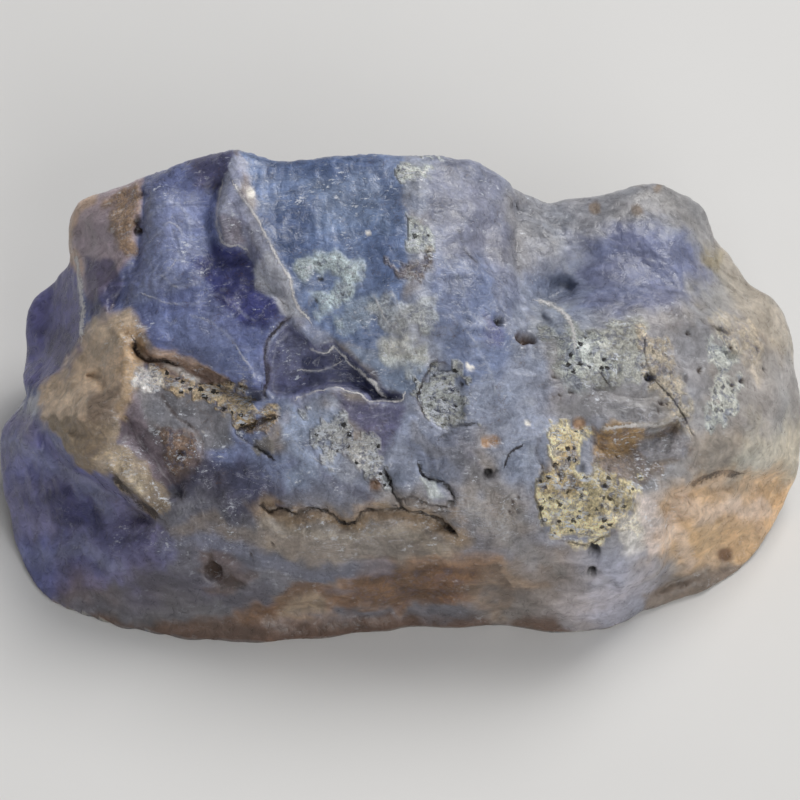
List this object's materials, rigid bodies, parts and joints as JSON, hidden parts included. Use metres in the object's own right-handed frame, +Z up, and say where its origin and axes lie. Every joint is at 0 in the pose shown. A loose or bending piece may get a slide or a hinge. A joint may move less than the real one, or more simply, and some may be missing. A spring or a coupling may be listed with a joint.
{
  "type": "raw agate",
  "caption": "Raw lump of blue agate with ledges, fracture faces and pits; a loose stone that rests on its flat underside.",
  "frame": {"origin": "on the table under the middle of the stone's bounding box", "axes": "+X along the stone's length, towards the end with the orange patch; +Z up; the side the picture shows faces -Y and up"},
  "size_m": [0.0408, 0.0209, 0.0156],
  "materials": {
    "blue_chalcedony": "waxy broken chalcedony with sandy crust in places"
  },
  "bodies": {
    "root": {"agate": "blue_chalcedony"}
  },
  "joints": []
}
